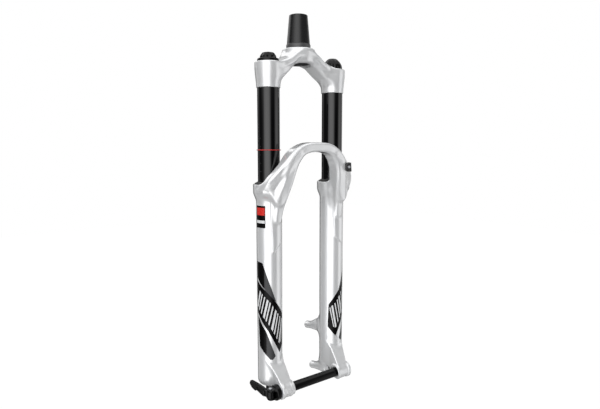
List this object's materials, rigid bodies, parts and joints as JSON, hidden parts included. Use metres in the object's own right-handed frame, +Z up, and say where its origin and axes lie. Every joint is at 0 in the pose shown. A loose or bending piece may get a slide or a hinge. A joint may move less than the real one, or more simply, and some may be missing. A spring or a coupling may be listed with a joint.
{
  "type": "bicycle suspension fork",
  "caption": "Air-sprung telescopic suspension fork with a tapered steerer, arched lower legs, through axle with cam lever and brake posts.",
  "frame": {"origin": "centre of the crown's top face on the steerer axis, where the headset's lower race sits", "axes": "+Z up the steerer, -Y the front of the bicycle, +X the rider's left, where the brake posts are"},
  "size_m": [0.1835, 0.1124, 0.6201],
  "materials": {
    "white_paint": "gloss",
    "black_anodised": "gloss",
    "black_steerer": "satin",
    "black_plastic": "satin",
    "bare_alloy": "satin",
    "steel": "satin",
    "black_rubber": "matt",
    "red_rubber": "satin",
    "foam": "matt",
    "bush_ptfe": "satin",
    "token_plastic": "satin",
    "print_black": "gloss",
    "print_light": "gloss",
    "print_red": "gloss"
  },
  "bodies": {
    "upper": {"steerer_tube": "black_steerer", "crown": "white_paint", "damper_stanchion": "black_anodised", "air_stanchion": "black_anodised", "damper_retaining_ring": "steel", "air_retaining_ring": "steel", "damper_top_cap": "black_anodised", "damper_cartridge": "bare_alloy", "damper_bladder": "black_rubber", "compression_valve": "bare_alloy", "damper_seal_head": "black_anodised", "air_top_cap": "black_anodised", "schrader_valve": "steel", "volume_token": "token_plastic", "air_seal_head": "black_plastic", "top_out_bumper": "black_rubber"},
    "compression_knob": {"compression_knob": "black_anodised"},
    "low_speed_dial": {"low_speed_dial": "black_anodised"},
    "air_valve_cap": {"air_valve_cap": "black_anodised"},
    "travel_ring": {"travel_ring": "red_rubber"},
    "lowers": {"lower_legs": "white_paint", "damper_wiper_seal": "black_rubber", "air_wiper_seal": "black_rubber", "damper_foam_ring": "foam", "air_foam_ring": "foam", "damper_upper_bushing": "bush_ptfe", "damper_lower_bushing": "bush_ptfe", "air_upper_bushing": "bush_ptfe", "air_lower_bushing": "bush_ptfe", "damper_crush_washer": "bare_alloy", "air_crush_washer": "bare_alloy", "damper_foot_bolt": "black_anodised", "air_foot_bolt": "black_anodised", "rebound_shaft": "steel", "rebound_piston": "bare_alloy", "air_shaft": "bare_alloy", "air_piston": "black_plastic", "bottom_out_bumper": "black_rubber", "hose_guide": "black_plastic", "hose_guide_bolt": "steel"},
    "rebound_knob": {"rebound_knob": "black_anodised", "rebound_rod": "bare_alloy"},
    "axle_washer": {"axle_washer": "steel"},
    "axle": {"axle_tube": "black_anodised", "lever_pin": "steel", "draw_rod": "steel", "axle_wedge": "steel"},
    "axle_lever": {"axle_lever": "black_anodised"}
  },
  "joints": [
    {"name": "fork_travel", "type": "slide", "parent": "upper", "child": "lowers", "axis": [0, 0, 1], "range_m": [0, 0.14], "stiffness_N_per_m": 4500, "springref_m": -0.02},
    {"name": "ring_slide", "type": "slide", "parent": "upper", "child": "travel_ring", "axis": [0, 0, 1], "range_m": [0, 0.094]},
    {"name": "compression_turn", "type": "hinge", "parent": "upper", "child": "compression_knob", "pos_m": [-0.065, -0.0092, -0.02], "axis": [0, 0, 1], "range_deg": [-90, 0]},
    {"name": "low_speed_turn", "type": "hinge", "parent": "compression_knob", "child": "low_speed_dial", "pos_m": [-0.065, -0.0092, -0.015], "axis": [0, 0, 1], "range_deg": [-270, 0]},
    {"name": "valve_cap_off", "type": "slide", "parent": "upper", "child": "air_valve_cap", "axis": [0, 0, 1], "range_m": [0, 0.03]},
    {"name": "rebound_turn", "type": "hinge", "parent": "lowers", "child": "rebound_knob", "pos_m": [-0.065, -0.0092, -0.56], "axis": [0, 0, 1], "continuous": true},
    {"name": "axle_out", "type": "slide", "parent": "lowers", "child": "axle_washer", "axis": [-1, 0, 0], "range_m": [0, 0.15]},
    {"name": "axle_spin", "type": "hinge", "parent": "axle_washer", "child": "axle", "pos_m": [-0.08, -0.042, -0.546], "axis": [1, 0, 0], "continuous": true},
    {"name": "lever_open", "type": "hinge", "parent": "axle", "child": "axle_lever", "pos_m": [-0.0865, -0.042, -0.546], "axis": [0, 0, 1], "range_deg": [0, 170]}
  ],
  "couplings": [
    {"joint": "ring_slide", "follows": "fork_travel", "ratio": 0.67}
  ]
}
